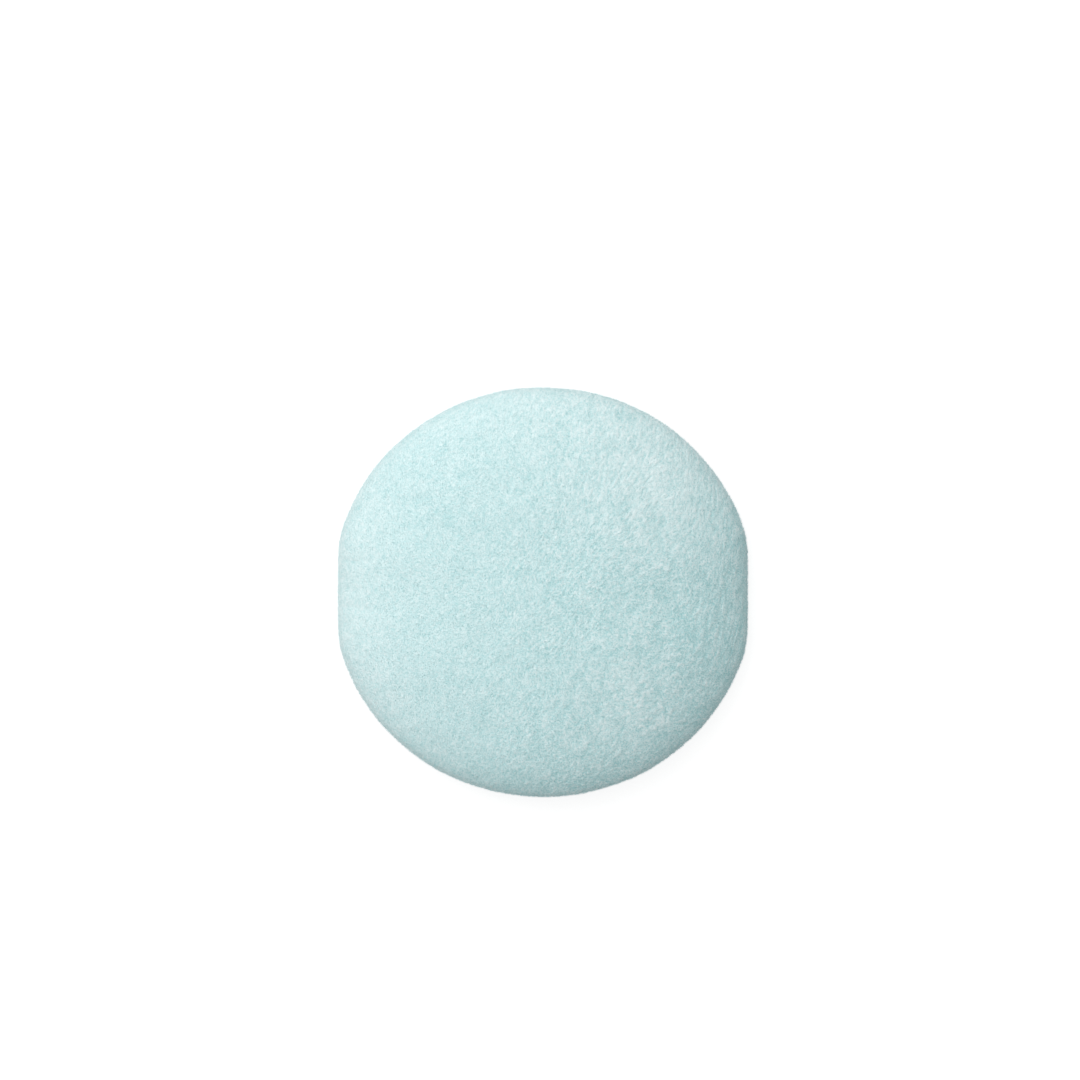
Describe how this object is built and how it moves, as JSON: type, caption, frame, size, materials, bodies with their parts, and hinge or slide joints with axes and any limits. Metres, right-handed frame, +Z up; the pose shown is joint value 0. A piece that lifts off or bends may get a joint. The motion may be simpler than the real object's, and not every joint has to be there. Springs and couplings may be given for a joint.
{
  "type": "powder puff",
  "caption": "Round plush powder puff for applying loose or pressed powder, with sewn velour covers over wadding and foam and a satin finger band across the back.",
  "frame": {"origin": "centre of the bottom of the bounding box, on the flat underside of the satin band that the puff lies on", "axes": "+Z up out of the plush front, X along the band, Y along the finger slot towards the picture's top"},
  "size_m": [0.0824, 0.082, 0.0206],
  "materials": {
    "plush": "matte plush pile",
    "wadding": "matte fibre",
    "foam": "matte open-cell foam",
    "satin": "satin",
    "thread": "spun thread"
  },
  "bodies": {
    "root": {"front_cover": "plush", "back_cover": "plush", "front_wadding": "wadding", "foam_core": "foam", "back_wadding": "wadding", "ribbon_band": "satin", "needle_thread": "thread", "bobbin_thread": "thread", "ribbon_tack_left": "thread", "ribbon_tack_right": "thread", "closing_stitches": "thread"}
  },
  "joints": []
}
